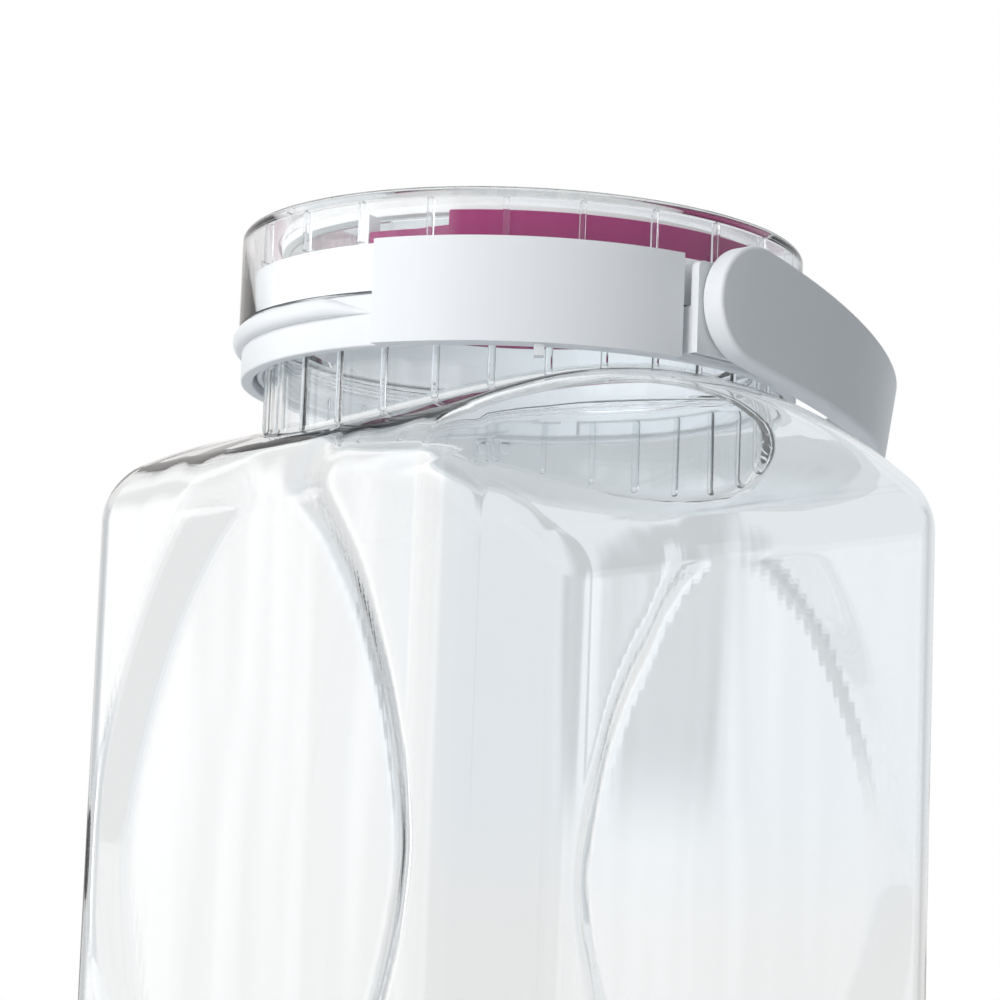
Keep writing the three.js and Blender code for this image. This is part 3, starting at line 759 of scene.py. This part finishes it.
def grip_bead(start, end):
    """Half-round bead along the top of the skirt, fading out towards both ends."""
    taper = grip_bead_taper / (end - start)

    def section(share):
        fade = min(share, 1 - share) / taper
        fade = min(max(fade, 0), 1)
        fade = fade * fade * (3 - 2 * fade)
        proud = grip_bead_proud * (0.02 + 0.98 * fade)
        height = grip_bead_height * (0.15 + 0.85 * fade)
        turns = [math.pi * (k / 10 - 0.5) for k in range(11)]
        back = skirt_outer - grip_bead_root
        arc = [(skirt_outer + proud * math.cos(t) ** grip_bead_fullness,
                grip_bead_bottom + height / 2 * (1 + math.sin(t))) for t in turns[1:-1]]
        return [(back, grip_bead_bottom), *arc, (back, grip_bead_bottom + height)]

    return arc_block("grip_bead", start, end, section)


ear_turn = math.degrees(ear_half / skirt_outer)
bead_meshes = [
    grip_bead(pivot_angle + ear_turn - 180 + side, band_from - grip_bead_gap + side)
    for side in both_sides
]


def on_pivot(mesh, side):
    """Turns a mesh made at the front, on -Y, to the pivot on one side."""
    mesh.transform(Matrix.Rotation(math.radians(pivot_angle + side), 4, "Z"))
    return mesh


def plate(name, outline, near, far):
    """A flat plate across the pivot axis. The outline is in [across, height] pairs."""
    rows = [[(x, -distance, z) for x, z in outline] for distance in (near, far)]
    centre = np.mean(outline, axis=0)
    return skin(name, rows, poles=((centre[0], -near, centre[1]), (centre[0], -far, centre[1])))


ear_corner = ear_half - ear_round
ear_outline = [(-ear_half, ear_bottom), (ear_half, ear_bottom)]
ear_outline += [(ear_corner + ear_round * math.cos(t), ear_top - ear_round * (1 - math.sin(t)))
                for t in quarter_turns(6)]
ear_outline += [(-x, z) for x, z in ear_outline[:1:-1]]
root_outline = [(-ear_half, ear_bottom), (ear_half, ear_bottom),
                (ear_half, collar_top), (-ear_half, collar_top)]
ear_meshes = [
    on_pivot(plate(name, outline, near, far), side)
    for name, outline, near, far in (
        ("ear", ear_outline, ear_inner, ear_face),
        ("ear_root", root_outline, ear_root_inner, ear_root_outer),
    )
    for side in both_sides
]
tooth_mesh = ribs_mesh(
    "hub_teeth", white_pp, Count=tooth_count, First_Angle=math.radians(tooth_first - 90),
    Radius=(hub_inner + hub_relief) / 2 + sunk, Width=tooth_width,
    Depth=hub_relief - hub_inner + 2 * sunk, Bottom=hub_bottom, Top=lip_bottom + 2 * sunk,
    Vault_Radius=0.0,
)
collar = finished("collar", [collar_ring, *bead_meshes, *ear_meshes, tooth_mesh], white_pp,
                  "canister", ["collar"], sharp=35)


# Bands. Two curved white plates that snap over the collar's skirt, one at the front and one
# at the back, each with a small clip hooked under the skirt at its middle.
band_inner = 57.8 * MM
band_outer = 60.1 * MM
band_rebate = 58.6 * MM
clip_angle = 32
clip_width = 2 * MM
clip_reach = 2.6 * MM
band_rounding = 0.5 * MM
clip_outer = band_outer - 0.6 * MM
clip_bottom = collar_bottom - 2.4 * MM
clip_top = collar_bottom + 0.6 * MM
hook_top = collar_bottom - 0.3 * MM


def band(name, side):
    plate_mesh = arc_block("band_plate", band_from + side, band_to + side, lambda share: [
        (band_inner, collar_bottom), (band_outer, collar_bottom), (band_outer, band_top),
        (band_rebate, band_top), (band_rebate, collar_top), (band_inner, collar_top)])
    middle = band_from + clip_angle + side
    half = math.degrees(clip_width / 2 / band_outer)
    clip_mesh = arc_block("clip", middle - half, middle + half, lambda share: [
        (clip_outer - clip_reach, clip_bottom), (clip_outer, clip_bottom), (clip_outer, clip_top),
        (band_inner, clip_top), (band_inner, hook_top), (clip_outer - clip_reach, hook_top)])
    return finished(name, [plate_mesh, clip_mesh], white_pp, "canister", [name],
                    bevel=band_rounding)


front_band = band("front_band", 0)
back_band = band("back_band", 180)


# Handle. A flat white strap moulded to a square-shouldered U, wider and round at its ends,
# where a stud on the inside turns in each ear of the collar.
strap_inner = 60.8 * MM
strap_outer = 66 * MM
strap_thickness = strap_outer - strap_inner
strap_reach = 80 * MM
strap_squareness = 2.65
strap_end_radius = 11.7 * MM
strap_half = 9 * MM
strap_taper = 69 * MM
strap_round = 0.9 * MM
strap_droop = 12.4
curve_probe = 0.4 * MM
stud_radius = 4 * MM
stud_length = 1.9 * MM
stud_root = 0.3 * MM


def strap_mesh():
    """The strap with rounded edges, laid along its U in the plane of the two pivots."""
    turn = np.linspace(0, math.pi, 4001)
    power = 2 / strap_squareness
    across = np.sign(np.cos(turn)) * np.abs(np.cos(turn)) ** power * strap_outer
    reach = strap_reach * np.sin(turn).clip(0) ** power
    way = np.concatenate(([0], np.cumsum(np.hypot(np.diff(across), np.diff(reach)))))
    length = way[-1]

    def on_curve(distance):
        inside = np.clip(distance, 0.0, length)
        here = np.array((np.interp(inside, way, across), np.interp(inside, way, reach)))
        a, b = max(inside - curve_probe, 0.0), min(inside + curve_probe, length)
        ahead = np.array((np.interp(b, way, across) - np.interp(a, way, across),
                          np.interp(b, way, reach) - np.interp(a, way, reach)))
        if inside <= 0:
            ahead = np.array((0.0, 1.0))
        if inside >= length:
            ahead = np.array((0.0, -1.0))
        ahead /= np.linalg.norm(ahead)
        return here + ahead * (distance - inside), np.array((ahead[1], -ahead[0]))

    layers = [(-strap_round * (1 - math.cos(t)), strap_round * (1 - math.sin(t)))
              for t in quarter_turns(4)]
    layers += [(-strap_thickness + strap_round * (1 - math.cos(t)), strap_round * (1 - math.sin(t)))
               for t in quarter_turns(4, reverse=True)]
    ends = [math.pi / 2 * k / 20 for k in range(20)]
    middles = np.linspace(0, length, 121)
    stations = [("near", t) for t in ends] + [("mid", s) for s in middles]
    stations += [("far", t) for t in ends[::-1]]
    rows = []
    for kind, value in stations:
        upper = []
        for depth, inset in layers:
            if kind == "mid":
                from_end = min(value, length - value)
                share = min(from_end / strap_taper, 1)
                share = share * share * (3 - 2 * share)
                half = strap_end_radius + (strap_half - strap_end_radius) * share - inset
                distance = value
            else:
                radius = strap_end_radius - inset
                half = radius * math.sin(value)
                past = radius * math.cos(value)
                distance = -past if kind == "near" else length + past
            here, out = on_curve(distance)
            flat = here + out * depth
            upper.append((flat[0], flat[1], half))
        lower = [(x, y, -z) for x, y, z in upper]
        rows.append(lower + upper[::-1])
    mesh = skin("strap", rows, pinched=True)
    mesh.transform(Matrix.Translation((0, 0, pivot_height))
                   @ Matrix.Rotation(math.radians(pivot_angle), 4, "Z")
                   @ Matrix.Rotation(-math.pi / 2, 4, "Z")
                   @ Matrix.Rotation(-math.radians(strap_droop), 4, "X"))
    return mesh


def stud(side):
    outline = [(stud_radius * math.cos(t), pivot_height + stud_radius * math.sin(t))
               for t in (math.pi * k / 24 for k in range(48))]
    return on_pivot(plate("stud", outline, strap_inner - stud_length, strap_inner + stud_root), side)


handle_strap = finished("handle_strap", [strap_mesh(), stud(0), stud(180)], white_pp, "handle",
                        ["handle_strap"], sharp=50)


# Lid shell. Clear injection-moulded cap with a shallow panel in its top and twenty-four
# upright ribs inside its wall, above the white ring that is pressed into it.
shell_outer = 58.3 * MM
shell_inner = 56.5 * MM
shell_bottom = 243.6 * MM
lid_top = 263.6 * MM
ceiling = 261.6 * MM
panel_recess = 1.2 * MM
shell_rib_inner = 55.2 * MM
shell_rib_count = 24
shell_rib_first = 4.3
shell_rib_width = 1.2 * MM
shell_rib_bottom = band_top + 0.3 * MM
shell_rib_rounding = 0.2 * MM

clear_lid_plastic = clear_plastic(
    "clear_lid_plastic", tint=(0.975, 0.985, 0.995), roughness=0.01, ior=1.42, streaks=0.05
)


def disc_of_revolution(name, profile):
    """A turned solid whose outline starts and ends on the axis."""
    rows = [at_height(round_outline(r, lathe_steps), z) for r, z in profile[1:-1]]
    return skin(name, rows, poles=((0, 0, profile[0][1]), (0, 0, profile[-1][1])))


shell_corners = [
    (0, ceiling - panel_recess), (43.6 * MM, ceiling - panel_recess), (45.6 * MM, ceiling),
    (shell_inner, ceiling), (shell_inner, shell_bottom), (shell_outer, shell_bottom),
    (shell_outer, lid_top), (51.3 * MM, lid_top), (50.1 * MM, lid_top - panel_recess),
    (0, lid_top - panel_recess),
]
shell_rounds = (0, 0.5, 0.5, 0.5, 0.3, 0.3, 1.5, 0.4, 0.4, 0)


def rounded_open(profile, radii, steps=5):
    """The outline from axis to axis with each corner rounded by its own radius."""
    points = [Vector(p) for p in profile]
    result = [tuple(points[0])]
    for i in range(1, len(points) - 1):
        corner, back, ahead = points[i], points[i - 1] - points[i], points[i + 1] - points[i]
        reach = radii[i] * MM / math.tan(back.angle(ahead) / 2)
        start, end = corner + back.normalized() * reach, corner + ahead.normalized() * reach
        for k in range(steps + 1):
            t = k / steps
            bent = start * (1 - t) ** 2 + corner * 2 * t * (1 - t) + end * t**2
            result.append(tuple(bent))
    result.append(tuple(points[-1]))
    return result


shell_profile = rounded_open(shell_corners, shell_rounds)
shell_mesh = disc_of_revolution("lid_shell", shell_profile)
lid_shell = finished("lid_shell", [shell_mesh], clear_lid_plastic, "lid", ["lid_shell"],
                     sharp=60)

shell_rib_mesh = ribs_mesh(
    "lid_ribs", clear_lid_plastic, Count=shell_rib_count, First_Angle=math.radians(shell_rib_first - 90),
    Radius=(shell_rib_inner + shell_inner) / 2 + sunk / 2, Width=shell_rib_width,
    Depth=shell_inner - shell_rib_inner + sunk, Bottom=shell_rib_bottom, Top=ceiling + sunk,
    Vault_Radius=0.0,
)
lid_ribs = finished("lid_ribs", [shell_rib_mesh], clear_lid_plastic, "lid", [],
                    bevel=shell_rib_rounding)


# Lid ring. White moulded ring pressed into the shell, seen through its wall, with a post at
# the start of each cam rail.
ring_outer = 56.2 * MM
ring_bottom = 243.8 * MM
rail_height = 6.1 * MM
post_angle = 2.1
post_gap = 0.1
ring_rounding = 0.4 * MM

ring_mesh = turned("lid_ring", rounded([
    (ring_inner, ring_bottom), (ring_outer, ring_bottom), (ring_outer, band_top), (ring_inner, band_top),
], ring_rounding))
post_meshes = [
    arc_block("post", rail_from - post_gap - post_angle + side, rail_from - post_gap + side,
              block_section(ring_inner, rail_outer, band_top - 0.6 * MM, band_top + rail_height))
    for side in both_sides
]
lid_ring = finished("lid_ring", [ring_mesh, *post_meshes], white_pp, "lid", ["lid_ring"],
                    sharp=35)


# Cam rails. Magenta plastic strips on top of the ring. Each has a thin lead, a ramp and a
# tall part, whose square end stops the neck's lug when the lid is shut.
rail_strip_height = 2.6 * MM
rail_ramp_height = 0.6 * MM
rail_overlap = 0.3
rail_rounding = 0.25 * MM
magenta_pp = moulded_plastic("magenta_polypropylene", tint=(0.27, 0.008, 0.115), roughness=0.4,
                           grain=0.1, specular=0.2)


def cam_rail(name, side):
    start = rail_from + side

    def sloped(share):
        top = band_top + rail_strip_height + rail_ramp_height * share
        return [(ring_inner, band_top), (rail_outer, band_top), (rail_outer, top), (ring_inner, top)]

    parts = [
        arc_block("strip", start, start + rail_strip_angle + rail_overlap,
                  block_section(ring_inner, rail_outer, band_top, band_top + rail_strip_height)),
        arc_block("ramp", start + rail_strip_angle, start + rail_notch_angle + rail_overlap, sloped),
        arc_block("tall", start + rail_notch_angle, start + rail_angle,
                  block_section(ring_inner, rail_outer, band_top, band_top + rail_height)),
    ]
    return finished(name, parts, magenta_pp, "lid", [name], bevel=rail_rounding)


front_cam_rail = cam_rail("front_cam_rail", 0)
back_cam_rail = cam_rail("back_cam_rail", 180)


# Gasket. A ring of soft milky silicone that lies under the lid and seals on the rim with two
# lips.
gasket_inner = 46.6 * MM
gasket_outer = 50.6 * MM
gasket_bottom = 259.9 * MM
gasket_groove = 0.5 * MM
gasket_rounding = 0.3 * MM
silicone = moulded_plastic("milky_silicone", tint=(0.80, 0.81, 0.80), roughness=0.55, grain=0.05)
gasket_mesh = turned("gasket", rounded([
    (gasket_inner, gasket_bottom), ((gasket_inner + gasket_outer) / 2, gasket_bottom + gasket_groove),
    (gasket_outer, gasket_bottom), (gasket_outer, ceiling), (gasket_inner, ceiling),
], gasket_rounding))
gasket = finished("gasket", [gasket_mesh], silicone, "seal", ["gasket"], sharp=60)
